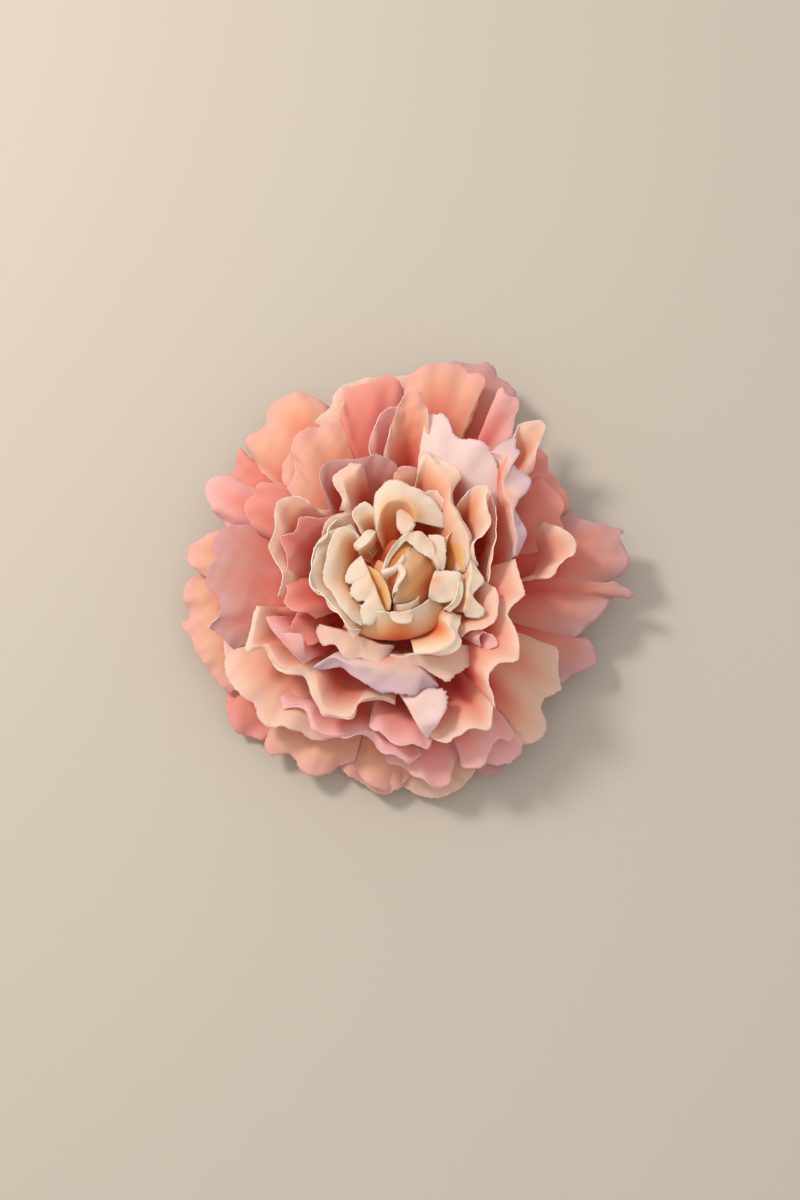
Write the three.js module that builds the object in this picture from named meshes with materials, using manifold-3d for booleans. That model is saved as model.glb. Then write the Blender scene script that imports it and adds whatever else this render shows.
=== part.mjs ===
// A fabric peony on a sprung alligator hair clip.
//
// Millimetres, +Z up. The clip lies along X with its flat back on Z = 0, and the bloom faces +Z.
// The origin is on the clip's back, under the bloom's axis. From the back up: lower jaw, hair gap, upper jaw,
// felt pad with two beads of hot glue, plastic calyx, then a plastic peg that carries nine die-cut petal
// layers, two spreader collars and the rolled heart.

import * as THREE from "three";
import { mergeVertices } from "three/addons/utils/BufferGeometryUtils.js";
import Module from "manifold-3d";

const wasm = await Module();
wasm.setup();

// ---- driving dimensions ----

const FIT_GAP = 0.3; // between pieces that touch

// clip
const SHEET = 0.8; // thickness of the pressed steel
const CLIP_WIDTH = 9;
const TIP_WIDTH = 5.6;
const CLIP_REAR_X = -27;
const CLIP_FRONT_X = 30;
const HINGE = { x: -12, z: 3.5 };
const HAIR_GAP = 5.4; // clear height between the closed jaws, behind the teeth
const PIN_RADIUS = 0.9;
const PIN_HEAD_RADIUS = 1.6;
const PIN_HEAD_THICKNESS = 0.6;
const EAR_RADIUS = 2.1;
const TEETH_START_X = 17;
const TOOTH_PITCH = 1.7;
const TOOTH_DEPTH = 1.0;

// spring
const WIRE_RADIUS = 0.4;
const COIL_RADIUS = 1.8; // to the middle of the wire
const COIL_TURNS = 3;
const COIL_HALF_WIDTH = 1.5;
const SPRING_LEG_END_X = -22;

// pad and bloom
const FELT_RADIUS = 15;
const FELT_THICKNESS = 1;
const BEAD = { length: 18, width: 2, depth: 0.75 };
const CALYX_RADIUS = 8.5;
const SEPAL_REACH = 18;
const SEPALS = 5;
const SEPAL_NOTCH = 0.95; // depth of the cut between sepals, as a share of their length
const PEG_RADIUS = 1.5;
const HUB_RADIUS = 5; // the flat middle of each petal layer
const PETAL_THICKNESS = 0.5;
const PETAL_NOTCH = 0.36; // depth of the cut between petals, as a share of the way from rim to hub
const PETAL_SEGMENTS = 6; // around one petal
const PETAL_STATIONS = [0.2, 0.45, 0.7, 0.88, 1]; // from hub to rim
const LAYER_PITCH = 1.0; // from one layer's hub to the next
const BLOOM_BASE_Z = 12; // hub of the lowest layer

// heights that follow from those above
const UPPER_JAW_Z = SHEET + HAIR_GAP; // underside of the upper jaw
const FELT_Z = UPPER_JAW_Z + SHEET + FIT_GAP;
const CALYX_Z = FELT_Z + FELT_THICKNESS + FIT_GAP;
const COLLAR_RISE = 1.8; // extra room in the stack where a spreader collar sits

// A petal layer is a lobed sheet. Its height at radius r is
//   hubZ + lift * t^power - droop * t^4, with t the share of the way from the hub to the rim.
// turn is in degrees, and collars counts the spreader collars below the layer.
const PETAL_LAYERS = [
  { name: "outer_petals_lower", petals: 6, turn: 0, collars: 0, rimR: 50.5, rimZ: 0.25, power: 1, droop: 14 },
  { name: "outer_petals_middle", petals: 6, turn: 30, collars: 0, rimR: 49.5, rimZ: 9, power: 1, droop: 10 },
  { name: "outer_petals_upper", petals: 6, turn: 8, collars: 0, rimR: 46, rimZ: 17, power: 1, droop: 9 },
  { name: "middle_petals_lower", petals: 6, turn: 40, collars: 1, rimR: 40, rimZ: 24, power: 1.1, droop: 4 },
  { name: "middle_petals_middle", petals: 6, turn: 15, collars: 1, rimR: 34, rimZ: 28, power: 1.1, droop: 2 },
  { name: "middle_petals_upper", petals: 5, turn: 50, collars: 1, rimR: 28, rimZ: 31, power: 1, droop: 1 },
  { name: "inner_petals_lower", petals: 5, turn: 20, collars: 2, rimR: 22, rimZ: 32, power: 0.9, droop: 0 },
  { name: "inner_petals_middle", petals: 5, turn: 60, collars: 2, rimR: 17, rimZ: 33, power: 0.8, droop: 0 },
  { name: "inner_petals_upper", petals: 4, turn: 5, collars: 2, rimR: 12.5, rimZ: 33, power: 0.75, droop: 0 },
];
const hubHeight = (index) => BLOOM_BASE_Z + index * LAYER_PITCH + PETAL_LAYERS[index].collars * COLLAR_RISE;
const HEART_Z = hubHeight(PETAL_LAYERS.length - 1) + PETAL_THICKNESS / 2 + FIT_GAP;
const HEART_TOP_Z = 31.5;
const HEART_RADIUS = 4.2;

// ---- finishes ----

const finish = (color, roughness, metalness = 0) =>
  new THREE.MeshStandardMaterial({ color, roughness, metalness, side: THREE.DoubleSide });

const STEEL = finish("#b9bcc0", 0.28, 1);
const SPRING_STEEL = finish("#8d9094", 0.35, 1);
const FELT = finish("#efe4d6", 0.95);
const HOT_GLUE = finish("#e9e3d2", 0.35);
const GREEN_PLASTIC = finish("#6f8f55", 0.5);
const CLEAR_PLASTIC = finish("#dfe3da", 0.4);
const CORAL_FABRIC = finish("#e98a73", 0.85);
const PEACH_FABRIC = finish("#f2b495", 0.85);
const CREAM_FABRIC = finish("#f7e6cf", 0.85);

// ---- solids ----

// A geometry as a solid that can be cut and joined.
function solidOf(geometry) {
  const bare = geometry.index ? geometry.toNonIndexed() : geometry.clone();
  bare.deleteAttribute("normal");
  bare.deleteAttribute("uv");
  const merged = mergeVertices(bare, 1e-4);
  return new wasm.Manifold(
    new wasm.Mesh({
      numProp: 3,
      vertProperties: new Float32Array(merged.attributes.position.array),
      triVerts: new Uint32Array(merged.index.array),
    }),
  );
}

function geometryOf(solid) {
  const { vertProperties, triVerts } = solid.getMesh();
  const geometry = new THREE.BufferGeometry();
  geometry.setAttribute("position", new THREE.BufferAttribute(new Float32Array(vertProperties), 3));
  geometry.setIndex(new THREE.BufferAttribute(new Uint32Array(triVerts), 1));
  geometry.computeVertexNormals();
  return geometry;
}

const union = (...geometries) => geometryOf(geometries.map(solidOf).reduce((a, b) => a.add(b)));
const intersection = (a, b) => geometryOf(solidOf(a).intersect(solidOf(b)));
const difference = (a, ...cutters) =>
  geometryOf(cutters.map(solidOf).reduce((kept, cutter) => kept.subtract(cutter), solidOf(a)));

// A side outline, in X and Z, made into a plate between two Y values.
function sidePlate(shape, fromY, toY, curveSegments = 8) {
  const geometry = new THREE.ExtrudeGeometry(shape, {
    depth: toY - fromY,
    bevelEnabled: false,
    curveSegments,
  });
  return geometry.rotateX(Math.PI / 2).translate(0, toY, 0);
}

// A plan outline, in X and Y, made into a block between two Z values.
function planBlock(shape, fromZ, toZ, curveSegments = 8) {
  const depth = toZ - fromZ;
  const geometry = new THREE.ExtrudeGeometry(shape, { depth, bevelEnabled: false, curveSegments });
  return geometry.translate(0, 0, fromZ);
}

// A rod along Y through the hinge.
const hingeRod = (radius, halfLength, sides = 20) =>
  new THREE.CylinderGeometry(radius, radius, 2 * halfLength, sides).translate(HINGE.x, 0, HINGE.z);

// A profile of [radius, height] pairs turned about Z.
function turned(profile, segments) {
  const points = profile.map(([r, z]) => new THREE.Vector2(r, z));
  return new THREE.LatheGeometry(points, segments).rotateX(Math.PI / 2);
}

// ---- clip ----

// The jaws' plan outline: parallel behind the hinge, tapering to a rounded tip.
function jawPlan(width) {
  const half = width / 2;
  const tip = TIP_WIDTH / 2;
  const shoulder = 2;
  const shape = new THREE.Shape();
  shape.moveTo(CLIP_REAR_X + half, -half);
  shape.lineTo(4, -half);
  shape.lineTo(CLIP_FRONT_X - shoulder, -tip);
  shape.quadraticCurveTo(CLIP_FRONT_X, -tip, CLIP_FRONT_X, 0);
  shape.quadraticCurveTo(CLIP_FRONT_X, tip, CLIP_FRONT_X - shoulder, tip);
  shape.lineTo(4, half);
  shape.lineTo(CLIP_REAR_X + half, half);
  shape.absarc(CLIP_REAR_X + half, 0, half, Math.PI / 2, (3 * Math.PI) / 2, false);
  return shape;
}

// Underside of the upper jaw at each bend, from the rear lever to the tip.
const UPPER_BENDS = [
  [CLIP_REAR_X - 1, 10.6],
  [-15.5, UPPER_JAW_Z],
  [14, UPPER_JAW_Z],
  [28, 1.9],
  [CLIP_FRONT_X + 1, 1.9],
];

// A sheet that follows the bends, thick upwards.
function bentSheet(bends) {
  const shape = new THREE.Shape();
  bends.forEach(([x, z], i) => (i ? shape.lineTo(x, z) : shape.moveTo(x, z)));
  [...bends].reverse().forEach(([x, z]) => shape.lineTo(x, z + SHEET));
  return sidePlate(shape, -CLIP_WIDTH, CLIP_WIDTH);
}

// A hinge ear: a round-ended plate around the hinge, out to the sheet that it is folded from.
function ear(rootZ, innerY, side) {
  const toRoot = Math.sign(rootZ - HINGE.z);
  const shape = new THREE.Shape();
  shape.moveTo(HINGE.x - EAR_RADIUS - 1.2, rootZ);
  shape.lineTo(HINGE.x + EAR_RADIUS + 1.2, rootZ);
  shape.lineTo(HINGE.x + EAR_RADIUS, HINGE.z);
  shape.absarc(HINGE.x, HINGE.z, EAR_RADIUS, 0, Math.PI, toRoot > 0);
  const [fromY, toY] = side > 0 ? [innerY, innerY + SHEET] : [-innerY - SHEET, -innerY];
  return sidePlate(shape, fromY, toY, 10);
}

function upperJaw() {
  const sheet = intersection(bentSheet(UPPER_BENDS), planBlock(jawPlan(CLIP_WIDTH), 0, 20));
  const innerY = CLIP_WIDTH / 2 - SHEET;
  const earRoot = UPPER_JAW_Z + SHEET / 2;
  const blank = union(sheet, ear(earRoot, innerY, 1), ear(earRoot, innerY, -1));
  return difference(blank, hingeRod(PIN_RADIUS + FIT_GAP, CLIP_WIDTH));
}

// The lower jaw's upturned edge, cut into teeth that rise to meet the sloping upper jaw.
function toothedEdge(side) {
  const [, , [bendX, bendZ], [tipX, tipZ]] = UPPER_BENDS;
  const jawAbove = (x) => bendZ + ((x - bendX) / (tipX - bendX)) * (tipZ - bendZ) - 2 * FIT_GAP;
  const shape = new THREE.Shape();
  shape.moveTo(TEETH_START_X, SHEET / 2);
  const lastX = tipX - 0.8;
  shape.lineTo(lastX, SHEET / 2);
  for (let x = lastX; x - TOOTH_PITCH > TEETH_START_X; x -= TOOTH_PITCH) {
    const point = x - TOOTH_PITCH / 2;
    shape.lineTo(x, Math.max(jawAbove(x) - TOOTH_DEPTH, SHEET));
    shape.lineTo(point, Math.max(jawAbove(point), SHEET + 0.2));
  }
  const y = TIP_WIDTH / 2 - 0.7;
  const [fromY, toY] = side > 0 ? [y, y + 0.6] : [-y - 0.6, -y];
  return sidePlate(shape, fromY, toY);
}

function lowerJaw() {
  const plate = planBlock(jawPlan(CLIP_WIDTH - 0.6), 0, SHEET);
  const innerY = CLIP_WIDTH / 2 - 2 * SHEET - FIT_GAP;
  const blank = union(
    plate,
    ear(SHEET / 2, innerY, 1),
    ear(SHEET / 2, innerY, -1),
    toothedEdge(1),
    toothedEdge(-1),
  );
  return difference(blank, hingeRod(PIN_RADIUS + FIT_GAP, CLIP_WIDTH));
}

function hingePin() {
  const shaftEnd = CLIP_WIDTH / 2 + FIT_GAP;
  const headEnd = shaftEnd + PIN_HEAD_THICKNESS;
  const profile = [
    [0, -headEnd],
    [PIN_HEAD_RADIUS - 0.3, -headEnd],
    [PIN_HEAD_RADIUS, -shaftEnd],
    [PIN_RADIUS, -shaftEnd],
    [PIN_RADIUS, shaftEnd],
    [PIN_HEAD_RADIUS, shaftEnd],
    [PIN_HEAD_RADIUS - 0.3, headEnd],
    [0, headEnd],
  ];
  return turned(profile, 16).rotateX(-Math.PI / 2).translate(HINGE.x, 0, HINGE.z);
}

// The coil round the pin, with a leg under the upper lever and a leg on the lower one.
function torsionSpring() {
  const onCoil = (share) => {
    const angle = Math.PI / 2 - share * (COIL_TURNS + 0.5) * 2 * Math.PI;
    return new THREE.Vector3(
      HINGE.x + COIL_RADIUS * Math.cos(angle),
      -COIL_HALF_WIDTH + share * 2 * COIL_HALF_WIDTH,
      HINGE.z + COIL_RADIUS * Math.sin(angle),
    );
  };
  const [leverEnd, bend] = UPPER_BENDS;
  const leverSlope = (leverEnd[1] - bend[1]) / (leverEnd[0] - bend[0]);
  const underLever = (x) => bend[1] + leverSlope * (x - bend[0]) - WIRE_RADIUS - FIT_GAP;
  const onLower = SHEET + WIRE_RADIUS + FIT_GAP;
  const points = [new THREE.Vector3(SPRING_LEG_END_X, -COIL_HALF_WIDTH, underLever(SPRING_LEG_END_X))];
  points.push(new THREE.Vector3(-17, -COIL_HALF_WIDTH, underLever(-17)));
  const coilPoints = 12 * COIL_TURNS;
  for (let i = 0; i <= coilPoints; i++) points.push(onCoil(i / coilPoints));
  points.push(new THREE.Vector3(-17, COIL_HALF_WIDTH, onLower));
  points.push(new THREE.Vector3(SPRING_LEG_END_X, COIL_HALF_WIDTH, onLower));
  const wire = new THREE.Shape().absarc(0, 0, WIRE_RADIUS, 0, 2 * Math.PI, false);
  return new THREE.ExtrudeGeometry(wire, {
    steps: 70,
    curveSegments: 3,
    bevelEnabled: false,
    extrudePath: new THREE.CatmullRomCurve3(points),
  });
}

// ---- pad and plastic core ----

function feltPad() {
  const shape = new THREE.Shape().absarc(0, 0, FELT_RADIUS, 0, 2 * Math.PI, false);
  return planBlock(shape, FELT_Z, FELT_Z + FELT_THICKNESS, 16);
}

// A bead in the corner between the felt and the jaw's side, along X on the +Y side.
function glueBead() {
  const section = new THREE.Shape();
  section.moveTo(0, 0);
  section.lineTo(BEAD.width, 0);
  section.quadraticCurveTo(BEAD.width * 0.75, -BEAD.depth, 0, -BEAD.depth);
  const options = { depth: BEAD.length, bevelEnabled: false, curveSegments: 4 };
  const bead = new THREE.ExtrudeGeometry(section, options);
  bead.rotateX(Math.PI / 2).rotateZ(Math.PI / 2);
  return bead.translate(-BEAD.length / 2, CLIP_WIDTH / 2 + FIT_GAP, FELT_Z - FIT_GAP);
}

// How far a lobed outline reaches at an angle: 1 in the middle of a lobe, less by the notch between two.
// The first lobe points along -Y.
function lobeReach(x, y, lobes, notch) {
  const angle = Math.atan2(x, -y);
  return 1 - notch * (1 - Math.sqrt(Math.abs(Math.cos((lobes * angle) / 2))));
}

// A closed sheet of the petal layer's thickness. rings is a list of rings of [x, y, z], from hole to rim.
function thickSheet(rings) {
  const columns = rings[0].length;
  const half = PETAL_THICKNESS / 2;
  const face = (offset) => rings.flat().flatMap(([x, y, z]) => [x, y, z + offset]);
  const positions = [...face(half), ...face(-half)];
  const under = rings.length * columns;
  const faces = [];
  const quad = (a, b, c, d) => faces.push(a, b, c, a, c, d);
  for (let i = 0; i < columns; i++) {
    const next = (i + 1) % columns;
    for (let ring = 0; ring + 1 < rings.length; ring++) {
      const [inner, outer] = [ring * columns, (ring + 1) * columns];
      quad(inner + i, outer + i, outer + next, inner + next);
      faces.push(under + inner + i, under + outer + next, under + outer + i);
      faces.push(under + inner + i, under + inner + next, under + outer + next);
    }
    const rim = (rings.length - 1) * columns;
    quad(under + rim + i, under + rim + next, rim + next, rim + i);
    quad(i, next, under + next, under + i);
  }
  const geometry = new THREE.BufferGeometry();
  geometry.setAttribute("position", new THREE.Float32BufferAttribute(positions, 3));
  geometry.setIndex(faces);
  geometry.computeVertexNormals();
  return geometry;
}

function calyx() {
  const top = CALYX_Z + 1.9;
  const edge = 0.9;
  const sepalHeight = (r) => top - edge + 0.13 * Math.max(r - CALYX_RADIUS, 0);
  const hole = PEG_RADIUS + FIT_GAP;
  const profile = [
    [hole, CALYX_Z],
    [CALYX_RADIUS - 1.5, CALYX_Z],
    [CALYX_RADIUS, sepalHeight(CALYX_RADIUS)],
    [13, sepalHeight(13)],
    [SEPAL_REACH, sepalHeight(SEPAL_REACH)],
    [SEPAL_REACH, sepalHeight(SEPAL_REACH) + 0.5],
    [13, sepalHeight(13) + 0.7],
    [CALYX_RADIUS, top],
    [hole, top],
    [hole, CALYX_Z],
  ];
  const geometry = turned(profile, 8 * SEPALS);
  const position = geometry.getAttribute("position");
  for (let i = 0; i < position.count; i++) {
    const [x, y, z] = [position.getX(i), position.getY(i), position.getZ(i)];
    const r = Math.hypot(x, y);
    if (r <= CALYX_RADIUS) continue;
    const pulled = CALYX_RADIUS + (r - CALYX_RADIUS) * lobeReach(x, y, SEPALS, SEPAL_NOTCH);
    position.setXYZ(i, (x * pulled) / r, (y * pulled) / r, z - sepalHeight(r) + sepalHeight(pulled));
  }
  return geometry;
}

// The stub of the moulded stem: a flange under the lowest layer and a post that every layer is pushed onto.
function corePeg() {
  const flange = BLOOM_BASE_Z - PETAL_THICKNESS / 2 - FIT_GAP;
  const profile = [
    [0, CALYX_Z + FIT_GAP],
    [PEG_RADIUS, CALYX_Z + FIT_GAP],
    [PEG_RADIUS, flange - 0.7],
    [4.5, flange - 0.7],
    [4.5, flange],
    [PEG_RADIUS, flange],
    [PEG_RADIUS, HEART_Z + 3],
    [0.6, HEART_Z + 4],
    [0, HEART_Z + 4],
  ];
  return turned(profile, 16);
}

// A shallow plastic cone on top of a layer, which holds the petals above it up and open.
function spreaderCollar(layerBelow) {
  const base = hubHeight(layerBelow) + PETAL_THICKNESS / 2 + FIT_GAP;
  const hole = PEG_RADIUS + FIT_GAP;
  const profile = [
    [hole, base],
    [HUB_RADIUS - 1, base],
    [HUB_RADIUS + 2, base + 1.6],
    [HUB_RADIUS + 1.4, base + 2.1],
    [HUB_RADIUS - 1.2, base + 1.6],
    [hole, base + 1.6],
    [hole, base],
  ];
  return turned(profile, 24);
}

// ---- bloom ----

function petalLayer({ petals, rimR, rimZ, power, droop }, index) {
  const hubZ = hubHeight(index);
  const lift = rimZ + droop - hubZ;
  const columns = petals * PETAL_SEGMENTS;
  const ringAt = (share) =>
    Array.from({ length: columns }, (_, i) => {
      const angle = (i / columns) * 2 * Math.PI - Math.PI / 2;
      const [x, y] = [Math.cos(angle), Math.sin(angle)];
      const t = share * lobeReach(x, y, petals, PETAL_NOTCH);
      const r = HUB_RADIUS + t * (rimR - HUB_RADIUS);
      return [r * x, r * y, hubZ + lift * t ** power - droop * t ** 4];
    });
  const hole = ringAt(0).map(([x, y, z]) => {
    const inwards = (PEG_RADIUS + FIT_GAP) / HUB_RADIUS;
    return [x * inwards, y * inwards, z];
  });
  return thickSheet([hole, ...[0, ...PETAL_STATIONS].map(ringAt)]);
}

// The rolled strip of fabric at the very middle, pushed over the end of the peg.
function rolledHeart() {
  const hole = PEG_RADIUS + FIT_GAP;
  const profile = [
    [0, HEART_Z + 5],
    [hole, HEART_Z + 4.4],
    [hole, HEART_Z],
    [3, HEART_Z],
    [HEART_RADIUS, HEART_Z + 3.5],
    [HEART_RADIUS * 0.8, HEART_TOP_Z - 1],
    [1.4, HEART_TOP_Z],
    [0, HEART_TOP_Z],
  ];
  return turned(profile, 18);
}

// ---- assembly ----

const flowerClip = new THREE.Group();

function add(name, geometry, material, turn = 0) {
  const mesh = new THREE.Mesh(geometry, material);
  mesh.name = name;
  mesh.rotation.z = THREE.MathUtils.degToRad(turn);
  flowerClip.add(mesh);
}

add("lower_jaw", lowerJaw(), STEEL);
add("upper_jaw", upperJaw(), STEEL);
add("hinge_pin", hingePin(), STEEL);
add("torsion_spring", torsionSpring(), SPRING_STEEL);
add("felt_pad", feltPad(), FELT);
add("glue_bead_left", glueBead(), HOT_GLUE);
add("glue_bead_right", glueBead(), HOT_GLUE, 180);
add("calyx", calyx(), GREEN_PLASTIC);
add("core_peg", corePeg(), CLEAR_PLASTIC);
add("spreader_collar_lower", spreaderCollar(2), CLEAR_PLASTIC);
add("spreader_collar_upper", spreaderCollar(5), CLEAR_PLASTIC);

const layerFabric = { outer: CORAL_FABRIC, middle: PEACH_FABRIC, inner: CREAM_FABRIC };
PETAL_LAYERS.forEach((layer, index) => {
  const [group] = layer.name.split("_");
  add(layer.name, petalLayer(layer, index), layerFabric[group], layer.turn);
});
add("rolled_heart", rolledHeart(), CREAM_FABRIC);

export default flowerClip;
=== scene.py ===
"""A silk peony on a sprung hair clip: the looks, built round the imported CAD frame.

The scene is in metres, +Z up. Petals are written in millimetres and degrees.
"""

import math

import bpy
import numpy as np
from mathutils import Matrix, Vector


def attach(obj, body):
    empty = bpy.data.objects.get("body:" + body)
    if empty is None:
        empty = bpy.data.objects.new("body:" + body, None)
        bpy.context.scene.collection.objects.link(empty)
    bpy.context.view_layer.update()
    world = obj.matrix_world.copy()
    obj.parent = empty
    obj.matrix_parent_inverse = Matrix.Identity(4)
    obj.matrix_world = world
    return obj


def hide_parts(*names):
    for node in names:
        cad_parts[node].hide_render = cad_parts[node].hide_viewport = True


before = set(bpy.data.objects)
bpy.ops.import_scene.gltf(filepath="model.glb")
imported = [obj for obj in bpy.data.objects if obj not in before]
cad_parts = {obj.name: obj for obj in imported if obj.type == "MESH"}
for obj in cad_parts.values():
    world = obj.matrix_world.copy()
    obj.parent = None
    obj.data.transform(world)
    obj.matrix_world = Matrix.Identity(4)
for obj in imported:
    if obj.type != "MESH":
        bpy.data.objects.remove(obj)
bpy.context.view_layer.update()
MM = 0.001

# ---- camera ----

CAMERA_ELEVATION = math.radians(71)
CAMERA_DISTANCE = 340 * MM
CAMERA_TARGET = Vector((0.5, -1.5, 12)) * MM
LENS = 45.3
TOWARDS_CAMERA = Vector((0, -math.cos(CAMERA_ELEVATION), math.sin(CAMERA_ELEVATION)))
EYE = CAMERA_TARGET + TOWARDS_CAMERA * CAMERA_DISTANCE


def make_camera():
    data = bpy.data.cameras.new("camera")
    data.lens = LENS
    data.sensor_width = 36
    data.clip_start = 0.01
    data.clip_end = 10
    camera = bpy.data.objects.new("camera", data)
    bpy.context.scene.collection.objects.link(camera)
    camera.location = EYE
    camera.rotation_mode = "QUATERNION"
    camera.rotation_quaternion = (-TOWARDS_CAMERA).to_track_quat("-Z", "Y")
    bpy.context.scene.camera = camera


# ---- petal layers ----
# All in mm. Each die-cut layer has its hub on the CAD peg. The fourth and the seventh rest on collars.

BLOOM_BASE_Z = 12
LAYER_PITCH = 1.0
COLLAR_RISE = 1.8
HEART_RISE = 0.6  # of the heart's hub above the last layer's
HUB_HOLE = 1.8


def hub_height(index):
    return BLOOM_BASE_Z + index * LAYER_PITCH + (index // 3) * COLLAR_RISE


# Rims and folds are drawn where the camera sees them on a level plane at one of these heights. Each is
# then moved along the camera's sight lines to its own height, so it keeps its place in the view.
OUTER_LEVEL = 18
HEART_LEVEL = 29


def around(*points):
    """(x, y) for each (azimuth in degrees, radius)."""
    return [(r * math.cos(math.radians(a)), r * math.sin(math.radians(a))) for a, r in points]


def petal(edge, height, dye_and_shade, level=OUTER_LEVEL, **more):
    """edge is the petal's free edge, a list of (x, y), and height is how high it is.

    fold and fold_height, where given, are the crease of an edge that is folded over. toward is the
    azimuth that a hollow petal's section faces, instead of straight out from the middle.
    """
    return {"edge": edge, "height": height, "dye_and_shade": dye_and_shade, "level": level, **more}


def heart_petal(edge, height, profile, dye_and_shade="heart", **more):
    return petal(edge, height, dye_and_shade, level=HEART_LEVEL, profile=profile, **more)


OUTER_LOWER = [
    petal([(0, -44.5), (2, -46), (4.5, -47.2), (7, -47.8), (9.5, -47.6), (11.5, -46.8), (13.5, -45.6),
           (15, -44), (16.5, -42.3), (17.5, -40)], 3, "cream_tip"),
    petal([(-13, -40.5), (-11.5, -42), (-10.3, -43.3), (-8.5, -44.2), (-7, -45.2), (-5.3, -46.4),
           (-3.5, -47.1), (-1.8, -46.9), (0, -46), (1.7, -45), (3, -43.3), (3, -41)], 3, "peach"),
    petal([(-10, -39), (-9.3, -41.5), (-8, -43.2), (-6, -44.9), (-3.5, -46), (-1.5, -46), (1, -45),
           (2.7, -43)], 5, "peach"),
    petal([(-28, -33), (-28.4, -35.5), (-28.2, -37.3), (-27, -38.6), (-25, -38.4), (-23.5, -38.3),
           (-22, -39.5), (-20.5, -41.7), (-19, -42.8), (-17, -43.2), (-15, -42.6), (-13, -41.2),
           (-11, -40.5), (-9, -40)], 5, "peach"),
    petal([(-37, -23.5), (-37, -26), (-36.8, -29), (-36, -31), (-34.7, -33.3), (-32.8, -34.4),
           (-30.5, -34.8), (-28.7, -35.2), (-27.8, -34), (-27.3, -31.5)], 3, "coral"),
    petal([(-42, 3), (-44.7, 2.3), (-46.5, 1), (-47.5, -1.5), (-47.2, -3.5), (-46.3, -6), (-46, -7.8),
           (-47.2, -9.5), (-46.3, -11.3), (-45, -13.3), (-44.2, -15.3), (-42.8, -17.5), (-41, -20),
           (-39.5, -21.8), (-38, -23.3), (-36.5, -25)], 6, "peach"),
    petal([(-38, 14.3), (-41, 13), (-43, 11.7), (-45, 10.2), (-46.8, 9), (-47.3, 7.3), (-46.8, 5.7),
           (-45.4, 4), (-43.8, 2.6), (-41.5, 1)], 8, "peach"),
    petal([(-35, 25), (-38, 25.8), (-40.5, 26.2), (-42.5, 25.8), (-43.5, 24), (-43.5, 22),
           (-42.5, 19.5), (-41, 17), (-39, 14.5), (-37, 13)], 8, "pink"),
    petal([(-32, 29), (-34, 31), (-36, 33.2), (-36.5, 31), (-37.2, 29), (-38, 27), (-37.8, 25),
           (-36, 23)], 6, "coral"),
    petal([(-32, 28), (-33.5, 31), (-34.5, 33), (-35, 35), (-34, 36.5), (-31, 38.5), (-30, 40),
           (-30, 42.5), (-29, 44.7), (-27.5, 45.8), (-25, 46.8), (-23, 47.3), (-20, 46.7), (-18, 45),
           (-16, 43.5)], 9, "peach"),
    petal([(-9, 49), (-5, 50.5), (-1, 51), (1, 51.3), (3, 52), (4.5, 52), (6, 50)], 9, "cream_tip"),
    # Greyed pink: painted shade on this petal.
    petal([(9, 52), (11, 54.5), (12.5, 55.3), (15, 54.7), (18, 54.8), (20.8, 54.8), (22.5, 53.3),
           (23.5, 51.3), (25.5, 50), (26.5, 48.3), (27.3, 46.5), (27, 43)], 9, "pink_painted_shade"),
    petal([(29, 36), (31, 34), (33, 32.7), (34.3, 31), (34.3, 29), (34.2, 27.3), (35.5, 26), (37, 24),
           (38.2, 21.5), (38.8, 19), (38.6, 16.5), (37.5, 13)], 10, "coral"),
    # Greyed pink: painted shade on this petal.
    petal([(36, 14), (38.8, 17.2), (41.5, 16), (44, 14.7), (47, 14.2), (49.5, 13.6), (50.7, 12.6),
           (49.3, 11.6), (50, 10), (51, 8.5), (51.4, 6.5), (51.2, 4.5), (50.2, 2.8), (48.5, 1.6),
           (46.5, 0.8), (45.5, 0.2), (48.8, 0.4), (50.4, -0.5), (51.8, -1.8), (51.2, -2.9), (48, -3),
           (46.8, -4), (45.5, -6), (43.5, -8.3), (41, -10.3), (38, -13)], 10, "pink_painted_shade"),
    # Greyed pink: painted shade on this petal.
    petal([(34, -9.5), (37, -10.5), (40, -11.5), (41.5, -12.7), (42.8, -14.3), (43.6, -16.3),
           (43.6, -17.6), (42.5, -18.7), (40, -19.8), (37.5, -21.3), (35.5, -22.5), (33, -24)], 7,
          "pink_painted_shade"),
    petal([(33, -13), (34.8, -15), (35.2, -17), (35, -19), (35.3, -21.5), (35.3, -24), (34, -25),
           (32, -26), (31, -27.7), (31.2, -30), (31.7, -32), (31.8, -33.2), (30.8, -34.7),
           (29.5, -35.7), (27.5, -36), (25, -35.5)], 9, "cream_tip"),
    petal([(26, -31), (26.6, -34), (26.7, -36), (26.3, -38), (25, -39.5), (23.5, -40.4), (21, -40.8),
           (19, -40.3), (17, -38.5)], 8, "pink"),
    # Greyed pink: painted shade on this petal.
    petal([(15.5, -41), (17, -42.3), (18.5, -42.9), (20.3, -42.9), (21.7, -42), (22.7, -40.3)], 4,
          "pink_painted_shade"),
]

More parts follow.
